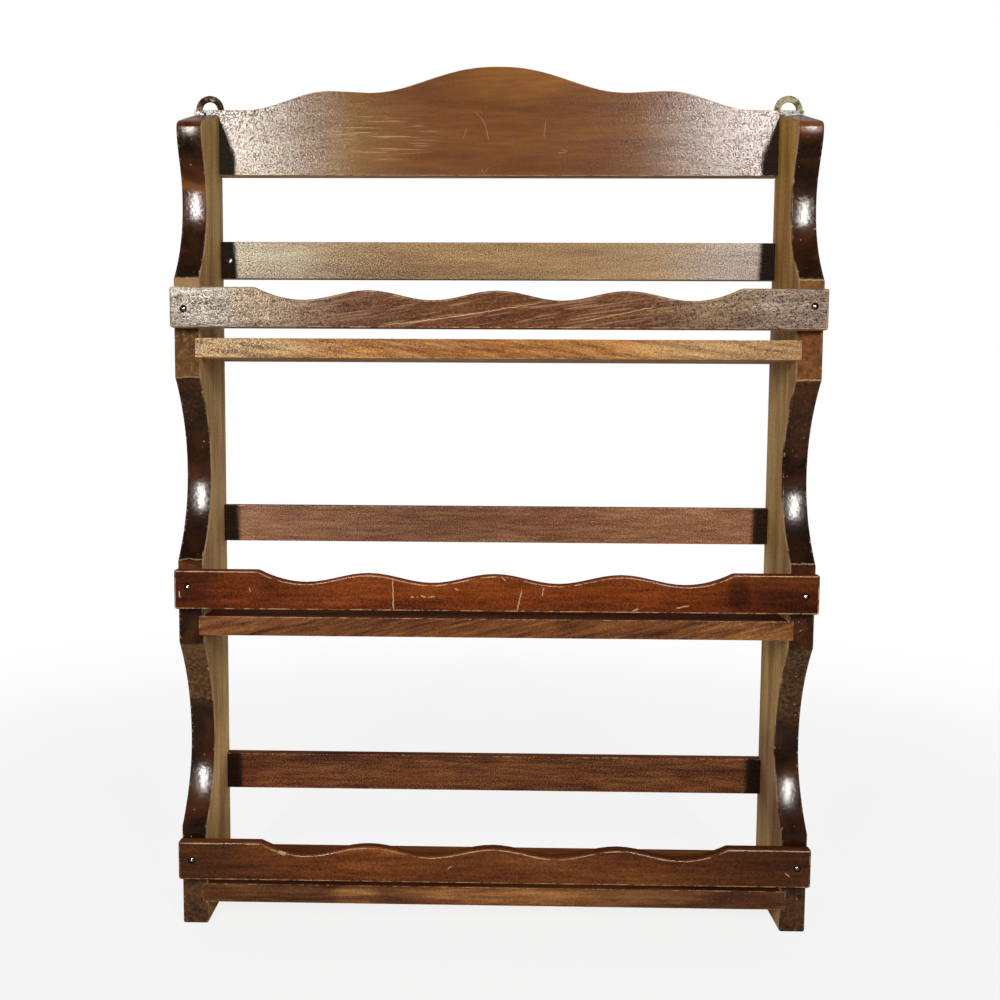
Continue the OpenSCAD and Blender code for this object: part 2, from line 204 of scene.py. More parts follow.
def stained_wood(
    name, colour, sizes, worn, along="X", turn=0.0, gloss=0.25, matt=0.95, ior=1.5, relief=0.08,
    figure=0.4, streak=0.4, pore=0.3, sand=0.3, ends=1.0, corner_shadow=1.0, wear=0.5,
    stain_and_painted_light=(), flecks=(), grit_shade_specks=(), scuffs=(), marks=(), depth=1.0,
):
    """Stained and lacquered softwood board: broad figure, grain lines, open pores and fine sanding grit,
    with a finish rubbed off the eased edges. The eye gets a warm brown that is darker and redder
    in the grain, a sandy glare that the grit breaks up, and thin pale lines on the arrises.

    Gloss is the roughness on the crowns of the grit, and matt in its hollows. Figure, streak, pore
    and sand say how far each noise moves the tone, and relief is in mm. Ends is what the stain is
    multiplied by at the two ends, and the corner shade what it is multiplied by beside the sides: painted
    shadow of the sides in the inside corners. Wear is how much of the eased edges is rubbed bare. Every
    spot is a box given as x, z to x, z in mm. A patch has its tint in front of it: darker or lighter stain,
    and at the lit ends of some boards painted glare, beside the sides painted shadow. Flecks and specks
    have how dark they are, the specks being painted shade in the grit's hollows, and scuffs how pale
    they are and their slope in degrees. Depth is how pale the marks are."""
    material, tree = new_material(name)
    place = add(tree, "TexCoord").outputs["Object"]
    axis = "XYZ".index(along)

    def stretched(length, degrees=0.0):
        """The place with the pattern drawn out along the grain, which is turned in the board's face."""
        scale = [1.0, 1.0, 1.0]
        scale[axis] = length
        around = (0, math.radians(-degrees), 0)
        return add(
            tree, "Mapping", {"Vector": place, "Rotation": around, "Scale": scale}, vector_type="TEXTURE"
        ).outputs[0]

    def near_spot(x0, z0, x1, z1):
        """1 in the middle of a spot given in mm, and 0 outside it."""
        local = add(
            tree,
            "Mapping",
            {
                "Vector": place,
                "Location": ((x0 + x1) / 2 * MM, 0, (z0 + z1) / 2 * MM),
                "Scale": ((x1 - x0) / 2 * MM, 1, (z1 - z0) / 2 * MM),
            },
            vector_type="TEXTURE",
        )
        flat = add(tree, "VectorMath", {0: local.outputs[0], 1: (1, 0, 1)}, operation="MULTIPLY")
        reach = add(tree, "VectorMath", {0: flat.outputs[0]}, operation="LENGTH")
        return add(
            tree, "MapRange", {"Value": reach.outputs["Value"], "From Min": 1.15, "From Max": 0.6}
        ).outputs[0]

    bands = add(
        tree, "TexNoise",
        {"Vector": stretched(11, turn), "Scale": 1 / sizes.figure_width, "Detail": 3, "Distortion": 0.6}
    ).outputs["Fac"]
    lines = add(
        tree, "TexNoise",
        {"Vector": stretched(11, turn), "Scale": 1 / sizes.grain_spacing, "Detail": 4, "Roughness": 0.6}
    ).outputs["Fac"]
    pores = add(
        tree, "TexNoise",
        {"Vector": stretched(2.6, turn), "Scale": 1 / sizes.pore_width, "Detail": 2, "Roughness": 0.7}
    ).outputs["Fac"]
    grit = add(
        tree, "TexNoise", {"Vector": place, "Scale": 1 / GRIT, "Detail": 1, "Roughness": 0.5}
    ).outputs["Fac"]
    hollow = add(tree, "MapRange", {"Value": grit, "From Min": 0.48, "From Max": 0.38}).outputs[0]
    # Each noise moves the tone up or down from the stain's own colour
    tone = 0.5 - 1.5 * (figure + streak + pore + sand)
    for part, amount in ((bands, figure), (lines, streak), (pores, pore), (grit, sand)):
        tone = add(tree, "Math", {0: part, 1: 3 * amount, 2: tone}, operation="MULTIPLY_ADD").outputs[0]
    wood = add(
        tree,
        "ValToRGB",
        {0: tone},
        stops=(
            (0.0, shade(colour, 0.28, 0.22, 0.2)),
            (0.25, shade(colour, 0.62, 0.56, 0.52)),
            (0.5, colour),
            (0.75, shade(colour, 1.4, 1.65, 1.7)),
            (1.0, shade(colour, 1.9, 2.6, 2.9)),
        ),
    ).outputs[0]
    # What the stain's colour is multiplied by from place to place, painted glare and painted shadow among it
    levels = []
    for tint, *spot in stain_and_painted_light:
        # A place where the stain took darker or lighter, with a soft border; at the lit ends of some boards it
        # is painted glare, and beside the sides painted shadow
        tints = {0: near_spot(*spot), 6: (1.0, 1.0, 1.0, 1.0), 7: (*tint, 1.0)}
        levels.append(add(tree, "Mix", tints, data_type="RGBA").outputs[2])
    across = add(
        tree, "Math", {0: add(tree, "SeparateXYZ", {0: place}).outputs[0]}, operation="ABSOLUTE"
    ).outputs[0]
    if ends != 1.0:
        # Stain lies thicker towards the two ends
        reach = {"Value": across, "From Min": 0.1, "From Max": 0.18, "To Min": 1.0, "To Max": ends}
        levels.append(add(tree, "MapRange", reach).outputs[0])
    if corner_shadow != 1.0:
        # Painted shadow: the sides' cast shadow, darkened into the stain in the inside corners beside them and
        # narrowing to a point at the sides' top
        up = add(tree, "SeparateXYZ", {0: place}).outputs[2]
        lean = {"Value": up, "From Min": SIDE_TOP - 28 * MM, "From Max": SIDE_TOP, "To Max": -10.5 * MM}
        slope = add(
            tree, "Math", {0: across, 1: add(tree, "MapRange", lean).outputs[0]}, operation="ADD"
        ).outputs[0]
        low, high = INNER_X - 12.5 * MM, INNER_X - 9.5 * MM
        corner_shadow_wedge = {"Value": slope, "From Min": low, "From Max": high, "To Min": 1.0, "To Max": corner_shadow}
        levels.append(add(tree, "MapRange", corner_shadow_wedge).outputs[0])
    for amount, *spot in flecks:
        # Short dark dashes where stain stayed in the pores
        dash = add(
            tree, "MapRange", {"Value": pores, "From Min": 0.5, "From Max": 0.62, "To Max": amount}
        ).outputs[0]
        dash = add(tree, "Math", {0: dash, 1: near_spot(*spot)}, operation="MULTIPLY").outputs[0]
        levels.append(add(tree, "Math", {0: 1.0, 1: dash}, operation="SUBTRACT").outputs[0])
    for amount, *spot in grit_shade_specks:
        # Painted shade: dark specks in the hollows of the grit, where the board was left rough, that break up
        # the glare
        hollow_shade = add(tree, "Math", {0: hollow, 1: near_spot(*spot)}, operation="MULTIPLY").outputs[0]
        levels.append(add(tree, "Math", {0: hollow_shade, 1: -amount, 2: 1.0}, operation="MULTIPLY_ADD").outputs[0])
    for level in levels:
        wood = add(tree, "Mix", {0: 1.0, 6: wood, 7: level}, data_type="RGBA", blend_type="MULTIPLY").outputs[2]
    # The finish is rubbed off in places along the eased edges
    eased = add(tree, "Attribute", attribute_name="eased").outputs["Fac"]
    worn_patches = add(
        tree, "TexNoise", {"Vector": place, "Scale": 1 / (7 * MM), "Detail": 4, "Roughness": 0.7}
    ).outputs["Fac"]
    gaps = add(
        tree, "MapRange",
        {"Value": worn_patches, "From Min": 0.62 - 0.35 * wear, "From Max": 0.78 - 0.35 * wear},
    ).outputs[0]
    rubbed = add(tree, "Math", {0: eased, 1: gaps}, operation="MULTIPLY").outputs[0]
    for amount, degrees, *spot in scuffs:
        # Fine pale scratches, gathered where the board was rubbed
        hairs = add(
            tree, "TexNoise", {"Vector": stretched(26, degrees), "Scale": 1 / (0.9 * MM), "Detail": 0}
        ).outputs["Fac"]
        fine = add(
            tree, "MapRange", {"Value": hairs, "From Min": 0.63, "From Max": 0.72, "To Max": amount}
        ).outputs[0]
        fine = add(tree, "Math", {0: fine, 1: near_spot(*spot)}, operation="MULTIPLY").outputs[0]
        rubbed = add(tree, "Math", {0: rubbed, 1: fine}, operation="MAXIMUM").outputs[0]
    if marks:
        jitter = add(tree, "TexNoise", {"Vector": place, "Scale": 1 / (3 * MM), "Detail": 2}).outputs["Color"]
        push = add(tree, "VectorMath", {0: jitter, 1: (-0.5, -0.5, -0.5)}, operation="ADD").outputs[0]
        shaky = add(
            tree, "VectorMath", {0: push, 1: (1.6 * MM,) * 3, 2: place}, operation="MULTIPLY_ADD"
        ).outputs[0]
        rubbed = add(
            tree, "Math", {0: rubbed, 1: marks_mask(tree, shaky, marks, depth)}, operation="MAXIMUM"
        ).outputs[0]
    wood = add(tree, "Mix", {0: rubbed, 6: wood, 7: worn}, data_type="RGBA").outputs[2]
    pits = add(tree, "MapRange", {"Value": pores, "From Min": 0.5, "From Max": 0.6, "To Max": pore}).outputs[0]
    # The finish shines on the crowns of the grain and is dull in its hollows
    dull = add(tree, "MapRange", {"Value": hollow, "To Min": gloss, "To Max": max(gloss, matt)}).outputs[0]
    rough = add(tree, "Math", {0: pits, 1: 0.8, 2: dull}, operation="MULTIPLY_ADD").outputs[0]
    rough = add(tree, "Math", {0: rubbed, 1: 0.25, 2: rough}, operation="MULTIPLY_ADD").outputs[0]
    height = add(tree, "Math", {0: pits, 1: -0.6, 2: grit}, operation="MULTIPLY_ADD").outputs[0]
    height = add(tree, "Math", {0: rubbed, 1: -0.5, 2: height}, operation="MULTIPLY_ADD").outputs[0]
    bump = add(tree, "Bump", {"Height": height, "Distance": relief * MM}).outputs[0]
    surface = add(tree, "BsdfPrincipled", {"Base Color": wood, "Roughness": rough, "IOR": ior, "Normal": bump})
    add(tree, "OutputMaterial", {"Surface": surface.outputs[0]})
    return material


def edge_lacquer(name, colours, sizes, bands, warm_bands, cracks, crown_x):
    """Nitrocellulose lacquer, brushed thick over black-brown stain on a sawn and sanded edge. The eye gets
    a near-black gloss with red-brown in it, small sharp highlights, and tan where the film has gone.
    The bands give how bare each height is, from 0 under full lacquer to 1 on bare undercoat, and the
    warm bands how far the lacquer was rubbed thin, so that the red-brown wood shines through. The cracks
    are pale lines, each with its height, half its width and its strength. The crown of the edge is at
    crown_x from the rack's middle."""
    material, tree = new_material(name)
    place = add(tree, "TexCoord").outputs["Object"]
    parts = add(tree, "SeparateXYZ", {0: place})
    # Torn borders: the height is read a little off, more or less from place to place
    tear = add(
        tree, "TexNoise", {"Vector": place, "Scale": 1 / (6 * MM), "Detail": 5, "Roughness": 0.65}
    ).outputs["Fac"]
    height = add(tree, "Math", {0: tear, 1: TEAR, 2: parts.outputs[2]}, operation="MULTIPLY_ADD").outputs[0]
    share = add(
        tree, "MapRange", {"Value": height, "From Min": TEAR / 2, "From Max": SIDE_TOP + TEAR / 2}
    ).outputs[0]
    top = SIDE_TOP / MM
    bare, thin = (
        add(
            tree, "ValToRGB", {0: share}, stops=[(min(1.0, z / top), (b, b, b, 1.0)) for z, b in table]
        ).outputs[0]
        for table in (bands, warm_bands)
    )
    grit = add(
        tree, "TexNoise", {"Vector": place, "Scale": 1 / (2.6 * MM), "Detail": 6, "Roughness": 0.75}
    ).outputs["Fac"]
    spread = add(tree, "MapRange", {"Value": grit, "From Min": 0.36, "From Max": 0.62}).outputs[0]
    # A bare band shows through the film in flecks first, and all over when it is quite bare
    flecks = add(tree, "Math", {0: bare, 1: spread}, operation="MULTIPLY").outputs[0]
    solid = add(tree, "MapRange", {"Value": bare, "From Min": 0.55, "From Max": 1.0}).outputs[0]
    open_film = add(tree, "Math", {0: flecks, 1: solid}, operation="MAXIMUM").outputs[0]
    warm = add(
        tree, "TexNoise", {"Vector": place, "Scale": 1 / (24 * MM), "Detail": 3, "Distortion": 1.0}
    ).outputs["Fac"]
    warm = add(tree, "Math", {0: warm, 1: 1.6, 2: -0.8}, operation="MULTIPLY_ADD").outputs[0]
    warm = add(tree, "Math", {0: warm, 1: thin}, operation="ADD").outputs[0]
    dark = add(
        tree,
        "ValToRGB",
        {0: warm},
        stops=(
            (0.0, shade(colours.lacquer, 0.35, 0.4, 0.5)), (0.3, colours.lacquer),
            (0.65, shade(colours.lacquer, 2.8, 2.3, 1.6)),
            (1.0, shade(colours.lacquer, 8.0, 8.0, 5.0)),
        ),
    ).outputs[0]
    tan = add(
        tree,
        "ValToRGB",
        {0: grit},
        stops=(
            (0.35, shade(colours.bare, 0.4, 0.34, 0.3)), (0.52, colours.bare),
            (0.7, shade(colours.bare, 1.7, 1.75, 1.8)),
        ),
    ).outputs[0]
    # The undercoat is redder where the lacquer over it was rubbed thin
    redder = add(tree, "MapRange", {"Value": thin, "From Min": 0.42, "From Max": 0.58}).outputs[0]
    tan = add(
        tree, "Mix", {0: redder, 6: tan, 7: (0.9, 0.66, 0.55, 1.0)}, data_type="RGBA", blend_type="MULTIPLY"
    ).outputs[2]
    film = add(tree, "Mix", {0: open_film, 6: dark, 7: tan}, data_type="RGBA").outputs[2]
    # Pale chips along the rounded edges, and a few small ones on the face
    eased = add(tree, "Attribute", attribute_name="eased").outputs["Fac"]
    nicks = add(
        tree, "TexNoise", {"Vector": place, "Scale": 1 / (4 * MM), "Detail": 5, "Roughness": 0.75}
    ).outputs["Fac"]
    side = add(tree, "Math", {0: parts.outputs[0]}, operation="ABSOLUTE").outputs[0]
    # Hands reach in past the inner edge, so it is rubbed the most; the pale line along it is also painted
    # highlight, where the rounded inner edge catches the lamps
    inner_rub_and_highlight = add(
        tree, "MapRange",
        {"Value": side, "From Min": INNER_X + 1.0 * MM, "From Max": INNER_X + 0.5 * MM, "To Max": 0.85},
    ).outputs[0]
    long = add(tree, "TexNoise", {"Vector": place, "Scale": 1 / (26 * MM), "Detail": 4}).outputs["Fac"]
    long = add(tree, "MapRange", {"Value": long, "From Min": 0.38, "From Max": 0.52}).outputs[0]
    inner_rub_and_highlight = add(tree, "Math", {0: inner_rub_and_highlight, 1: long}, operation="MULTIPLY").outputs[0]
    edge = add(tree, "MapRange", {"Value": nicks, "From Min": 0.56, "From Max": 0.64, "To Max": 0.8}).outputs[0]
    edge = add(tree, "Math", {0: edge, 1: inner_rub_and_highlight}, operation="MAXIMUM").outputs[0]
    edge = add(tree, "Math", {0: eased, 1: edge}, operation="MULTIPLY").outputs[0]
    dots = add(tree, "TexVoronoi", {"Vector": place, "Scale": 1 / (5 * MM)}, feature="F1")
    close = add(
        tree, "MapRange", {"Value": dots.outputs["Distance"], "From Min": 0.13, "From Max": 0.07}
    ).outputs[0]
    chosen = add(tree, "MapRange", {"Value": nicks, "From Min": 0.52, "From Max": 0.56}).outputs[0]
    chips = add(tree, "Math", {0: close, 1: chosen}, operation="MULTIPLY").outputs[0]
    pale = add(tree, "Math", {0: edge, 1: chips}, operation="MAXIMUM").outputs[0]
    for z, half, amount in cracks:
        away = add(tree, "Math", {0: height, 1: z * MM + TEAR / 2}, operation="SUBTRACT").outputs[0]
        away = add(tree, "Math", {0: away}, operation="ABSOLUTE").outputs[0]
        line = add(
            tree, "MapRange",
            {"Value": away, "From Min": (half + 0.2) * MM, "From Max": (half - 0.2) * MM, "To Max": amount},
        ).outputs[0]
        pale = add(tree, "Math", {0: pale, 1: line}, operation="MAXIMUM").outputs[0]
    film = add(tree, "Mix", {0: pale, 6: film, 7: colours.worn}, data_type="RGBA").outputs[2]
    dull = add(tree, "Math", {0: open_film, 1: pale}, operation="MAXIMUM").outputs[0]
    rough = add(
        tree, "MapRange", {"Value": dull, "From Min": 0.04, "From Max": 0.3, "To Min": 0.17, "To Max": 0.95}
    ).outputs[0]
    # The edge is crowned across its width, so it catches a lamp near its middle
    off = add(tree, "Math", {0: side, 1: -crown_x}, operation="ADD").outputs[0]
    off = add(tree, "Math", {0: off, 1: 1 / (OUTER_X - BOARD_X)}, operation="MULTIPLY").outputs[0]
    bow = add(tree, "Math", {0: off, 1: off}, operation="MULTIPLY").outputs[0]
    bow = add(tree, "Math", {0: bow, 1: -1.0}, operation="MULTIPLY").outputs[0]
    crowned = add(tree, "Bump", {"Height": bow, "Distance": sizes.crown}).outputs[0]
    peel = add(tree, "TexNoise", {"Vector": place, "Scale": 1 / (2.2 * MM), "Detail": 3}).outputs["Fac"]
    peel = add(tree, "Math", {0: dull, 1: -1.2, 2: peel}, operation="MULTIPLY_ADD").outputs[0]
    bump = add(tree, "Bump", {"Height": peel, "Distance": 0.09 * MM, "Normal": crowned}).outputs[0]
    surface = add(tree, "BsdfPrincipled", {"Base Color": film, "Roughness": rough, "IOR": 1.5, "Normal": bump})
    add(tree, "OutputMaterial", {"Surface": surface.outputs[0]})
    return material


def metal(name, colour, patina, cover, gloss):
    """Stamped or drawn metal with patina: bright where it is rubbed and brown where it isn't.
    The eye gets a dull sheen with blotches a few millimetres wide. Cover is the patina's share
    of the metal, and gloss its roughness where it is bright."""
    material, tree = new_material(name)
    place = add(tree, "TexCoord").outputs["Object"]
    blotch = add(
        tree, "TexNoise", {"Vector": place, "Scale": 1 / (3.5 * MM), "Detail": 4, "Roughness": 0.65}
    ).outputs["Fac"]
    mix = add(
        tree, "MapRange", {"Value": blotch, "From Min": 0.72 - 0.5 * cover, "From Max": 0.9 - 0.5 * cover}
    ).outputs[0]
    base = add(tree, "Mix", {0: mix, 6: colour, 7: patina}, data_type="RGBA").outputs[2]
    rough = add(tree, "MapRange", {"Value": mix, "To Min": gloss, "To Max": gloss + 0.2}).outputs[0]
    bump = add(tree, "Bump", {"Height": blotch, "Distance": 0.05 * MM}).outputs[0]
    surface = add(
        tree, "BsdfPrincipled", {"Base Color": base, "Metallic": 1.0, "Roughness": rough, "Normal": bump}
    )
    add(tree, "OutputMaterial", {"Surface": surface.outputs[0]})
    return material


def painted_shade_dish(name, colour):
    """A dull near-black ring in the countersink round a nail head: painted shade of the recess, with stain and
    grime in it.
    """
    material, tree = new_material(name)
    place = add(tree, "TexCoord").outputs["Object"]
    grime_and_shade = add(tree, "TexNoise", {"Vector": place, "Scale": 1 / (0.8 * MM), "Detail": 3}).outputs["Fac"]
    tone = add(
        tree, "ValToRGB", {0: grime_and_shade},
        stops=((0.3, shade(colour, 0.04, 0.04, 0.05)), (0.7, shade(colour, 0.15, 0.15, 0.18))),
    ).outputs[0]
    surface = add(tree, "BsdfPrincipled", {"Base Color": tone, "Roughness": 0.9, "IOR": 1.2})
    add(tree, "OutputMaterial", {"Surface": surface.outputs[0]})
    return material


# ------------------------------------------------------------------- pieces


def all_round(name, look, sizes, worn):
    """The three materials of a board: its front, its raw underside, and its dull top, back and ends,
    where no gloss is left and the stain is darker: dust, and painted shade where a shelf's top lies behind its
    rail."""
    dull = dict(gloss=0.8, relief=0.05, figure=0.4, streak=0.4, pore=0.15, sand=0.2)
    return [
        stained_wood("stained_pine_" + name, sizes=sizes, worn=worn, **look),
        stained_wood("bare_pine_under_" + name, worn, sizes, worn, ior=1.25, **dull),
        # The top, back and ends are a darker copy of the stain: partly dust, partly painted shade
        stained_wood(
            "dust_and_shade_stained_pine_" + name, shade(look["colour"], 0.75, 0.68, 0.6), sizes, worn, ior=1.1, **dull
        ),
    ]


def board_side(face):
    """Material place of a board's face: 0 in front, 1 underneath, 2 on top, behind and at the ends."""
    return 0 if face.normal.y < -0.2 else 1 if face.normal.z < -0.9 else 2


def board_mesh(node):
    """A merged bmesh of a CAD board, with its flat faces whole again."""
    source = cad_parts[node].data.copy()
    for layer in [a.name for a in source.attributes if not (a.is_required or a.is_internal)]:
        source.attributes.remove(source.attributes[layer])
    mesh = bmesh.new()
    mesh.from_mesh(source)
    bpy.data.meshes.remove(source)
    bmesh.ops.remove_doubles(mesh, verts=mesh.verts, dist=2e-6)
    bmesh.ops.dissolve_limit(mesh, angle_limit=math.radians(0.4), verts=mesh.verts, edges=mesh.edges)
    return mesh


def is_arris(edge):
    """True on a long, sharp, convex edge, such as a board's corners, and not round a drilled hole."""
    return (
        len(edge.link_faces) == 2
        and edge.calc_length() > SHORT_EDGE
        and edge.calc_face_angle(0.0) > ARRIS_BEND
        and edge.is_convex
    )


def dress(mesh, node, materials, ease, segments, wanted=is_arris, pick=lambda face: 0, rubbed=0.1):
    """Rounds the wanted edges, gives the faces their materials, and puts the piece in the node's place.
    Pick gives a face its place in the materials. A rounded face is worn when its normal's y is below
    rubbed."""
    mark = mesh.faces.layers.float.new("eased")
    edges = [e for e in mesh.edges if wanted(e)]
    if not edges:
        raise RuntimeError(f"{node} has no edge to ease")
    rounded = bmesh.ops.bevel(
        mesh, geom=edges, offset=ease, offset_type="OFFSET", affect="EDGES", segments=segments,
        profile=0.5, material=-1, clamp_overlap=True,
    )["faces"]
    mesh.normal_update()
    for face in rounded:
        # Hands and cloths rub the front edges and leave those at the back
        face[mark] = float(face.normal.y < rubbed)
    for face in mesh.faces:
        face.smooth = True
        face.material_index = pick(face)
    for edge in mesh.edges:
        edge.smooth = edge.calc_face_angle(0.0) < CORNER_BEND
    data = bpy.data.meshes.new("eased_" + node)
    mesh.to_mesh(data)
    mesh.free()
    for material in materials:
        data.materials.append(material)
    piece = bpy.data.objects.new("eased_" + node, data)
    bpy.context.scene.collection.objects.link(piece)
    level = piece.modifiers.new("even_shading", "WEIGHTED_NORMAL")
    level.keep_sharp = True
    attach(piece, "root")
    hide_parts(node)
    return piece


def finish_node(node, material):
    """Gives a CAD node that keeps its own shape a better material."""
    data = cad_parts[node].data
    data.materials.clear()
    data.materials.append(material)


# Heights in mm where the film on a side's front edge changes, and how bare it is there
LEFT_FILM = (
    (0, 0.45), (30, 0.4), (60, 0.04), (67.0, 0.04), (67.4, 0.85), (67.9, 0.03), (140, 0.02), (149, 0.2),
    (150, 0.9), (151.5, 0.62), (180, 0.72), (192.6, 0.95), (193.4, 0.04), (217, 0.06), (240, 0.04),
    (330, 0.04), (362, 0.16), (368, 0.1), (368.6, 0.85), (396, 0.72), (426, 0.9), (431.5, 1.0),
    (432.4, 0.03), (505, 0.06), (528, 0.08), (549, 0.1),
)
RIGHT_FILM = (
    (0, 0.3), (30, 0.25), (60, 0.04), (67.0, 0.04), (67.4, 0.7), (67.9, 0.03), (132, 0.04), (148, 0.5),
    (180, 0.6), (192.6, 0.7), (193.4, 0.1), (217, 0.12), (240, 0.04), (320, 0.05), (350, 0.2),
    (367.3, 0.2), (367.6, 0.95), (396, 0.9), (426, 0.9), (431.2, 1.0), (432.2, 1.0), (432.4, 0.03),
    (505, 0.05), (528, 0.08), (549, 0.1),
)

# Heights in mm where the lacquer is thick and black, 0, or rubbed thin and red-brown, 1
LEFT_WARMTH = (
    (0, 0.5), (30, 0.4), (58, 0.2), (80, 0.35), (128, 0.3), (148, 0.4), (210, 0.3), (238, 0.4), (242, 0.62),
    (247.4, 0.6), (248.4, 0.15), (270, 0.12), (300, 0.35), (318, 0.35), (334, 0.3), (363, 0.55), (367, 0.5),
    (369, 0.3), (400, 0.3), (436, 0.05), (462, 0.5), (480, 0.6), (504, 0.62), (512, 0.3), (518, 0.0),
    (526, 0.3), (536, 1.0), (549, 1.0),
)
RIGHT_WARMTH = (
    (0, 0.4), (30, 0.35), (58, 0.3), (100, 0.3), (128, 0.15), (150, 0.3), (210, 0.35), (238, 0.4), (242, 0.6),
    (247.8, 0.55), (248.8, 0.12), (270, 0.1), (310, 0.12), (334, 0.38), (363, 0.55), (420, 0.6), (428, 0.35),
    (436, 0.1), (464, 0.45), (490, 0.3), (502, 0.1), (518, 0.1), (532, 0.9), (549, 1.0),
)

# Pale cracks in the film at the corners of the lands: height and half width in mm, and strength
LEFT_CRACKS = ((248.9, 0.32, 0.45), (368.6, 0.4, 0.4), (429.3, 2.6, 0.5), (432.2, 0.4, 0.7))
RIGHT_CRACKS = ((249.3, 0.35, 0.5), (368.7, 0.45, 0.75), (432.3, 0.45, 0.8))


def is_outline(edge):
    """True on the edges where a side's outline meets its inner or outer face, clear of grooves and notches."""
    if not is_arris(edge):
        return False
    broad = [f for f in edge.link_faces if abs(f.normal.x) > 0.99]
    thin = [f for f in edge.link_faces if abs(f.normal.x) < 0.01]
    if not (broad and thin):
        return False
    x = abs(broad[0].calc_center_median().x)
    if min(abs(x - INNER_X), abs(x - OUTER_X)) > CLOSE:
        return False
    n, c = thin[0].normal, thin[0].calc_center_median()
    front = n.y < -0.2
    nose = n.z > 0.5 and c.z > SIDE_TOP - 60 * MM
    foot = n.z < -0.5 and c.z < 4 * MM
    back = n.y > 0.9 and c.y > WALL_Y - CLOSE
    return front or nose or foot or back


def side_face(face):
    """Material place of a side's face: 0 the front edge and top, 1 the inner face, 2 the outer face
    and the back edge."""
    x = face.normal.x * (1 if face.calc_center_median().x > 0 else -1)
    return 1 if x < -0.9 else 2 if x > 0.9 or face.normal.y > 0.3 else 0


def is_dish(face):
    """True on a rail's faces in the dish round a nail."""
    c = face.calc_center_median()
    if abs(abs(c.x) - BOARD_X) >= DISH_REACH or c.y <= RAIL_FRONT + 0.1 * MM:
        return False
    away = min(
        math.hypot(abs(c.x) - BOARD_X, c.z - v.co.z)
        for node in ("top_rail_nails", "middle_rail_nails", "bottom_rail_nails")
        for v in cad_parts[node].data.vertices
        if (v.co.x > 0) == (c.x > 0)
    )
    return away < DISH_REACH


def is_ring_edge(edge):
    """True on the sharp edges of a hanger's ring."""
    return (
        len(edge.link_faces) == 2
        and edge.calc_face_angle(0.0) > RING_BEND
        and edge.is_convex
        and all(math.hypot(abs(v.co.x) - BOARD_X, v.co.z - HANGER_EYE) < RING_REACH for v in edge.verts)
    )


class RACK_OT_sides(bpy.types.Operator):
    """Round the two scooped side boards and give them lacquered edges and dull stained faces"""

    bl_idname = "rack.sides"
    bl_label = "Side boards"

    def execute(self, context):
        colours, sizes = context.scene.rack_colours, context.scene.rack_sizes
        inside = stained_wood(
            "thin_stained_pine", tuple(colours.side_inside), sizes, tuple(colours.worn), along="Z",
            gloss=0.7, relief=0.05, figure=0.35, streak=0.2, pore=0.15, sand=0.3, ior=1.25,
            stain_and_painted_light=(
                ((1.35, 1.45, 1.75), -240, 215, -150, 310), ((1.4, 1.45, 1.6), -240, 55, -150, 130),
                ((0.8, 0.72, 0.9), 150, 55, 240, 130), ((1.2, 1.08, 0.8), 150, 420, 240, 580),
            ),
        )
        outside = stained_wood(
            "walnut_stained_pine_outside", tuple(colours.side_outside), sizes, tuple(colours.worn), along="Z",
            gloss=0.4, relief=0.05, figure=0.5, streak=0.4, pore=0.2, sand=0.15,
        )
        for node, bands, warmth, cracks, crown_x in (
            ("left_side", LEFT_FILM, LEFT_WARMTH, LEFT_CRACKS, BOARD_X),
            ("right_side", RIGHT_FILM, RIGHT_WARMTH, RIGHT_CRACKS, BOARD_X + 2.4 * MM),
        ):
            film = edge_lacquer("brushed_lacquer_" + node, colours, sizes, bands, warmth, cracks, crown_x)
            woods = [film, inside, outside]
            dress(board_mesh(node), node, woods, sizes.side_ease, 4, wanted=is_outline, pick=side_face)
        return {"FINISHED"}


class RACK_OT_crest(bpy.types.Operator):
    """Ease the crest panel and give it its scratched walnut finish"""

    bl_idname = "rack.crest"
    bl_label = "Crest panel"

    def execute(self, context):
        colours, sizes = context.scene.rack_colours, context.scene.rack_sizes
        look = dict(
            colour=tuple(colours.crest), gloss=0.19, relief=0.07, figure=0.2, streak=0.2, pore=0.04, sand=0.2,
            # The corner shade is painted shadow of the sides' noses on the crest's ends
            corner_shadow=0.13, wear=0.75,
            scuffs=((0.6, -1, -125, 520, -40, 552),),
            # The patches towards the ends are painted glare of the soft boxes, pale and whitened at the very
            # ends
            stain_and_painted_light=(
                ((1.3, 1.8, 1.5), -260, 470, -60, 600), ((1.2, 1.5, 1.4), 90, 470, 260, 600),
                ((1.35, 1.5, 1.5), -30, 562, 70, 600), ((1.3, 2.05, 10.0), -290, 400, -110, 660),
                ((1.35, 2.3, 12.0), 110, 400, 290, 660),
            ),
            # The specks are painted shade in the grit's hollows, breaking up the glare
            grit_shade_specks=((0.18, -330, 440, -70, 620), (0.18, 70, 440, 330, 620)),
            depth=0.4,
            marks=(
                (-21, 541, -24, 534, 0.5), (-15, 552, -9, 545, 0.5), (-9, 545, -6, 533, 0.5),
                (33, 546, 32, 535, 0.5), (44, 527, 48, 526, 0.6), (42, 524.5, 47, 525.5, 0.6),
                (-9, 511, -6, 515, 0.5), (-11, 514, -9.5, 511, 0.5),
            ),
        )
        woods = all_round("crest_panel", look, sizes, tuple(colours.worn))
        dress(board_mesh("crest_panel"), "crest_panel", woods, sizes.board_ease, 2, pick=board_side)
        return {"FINISHED"}


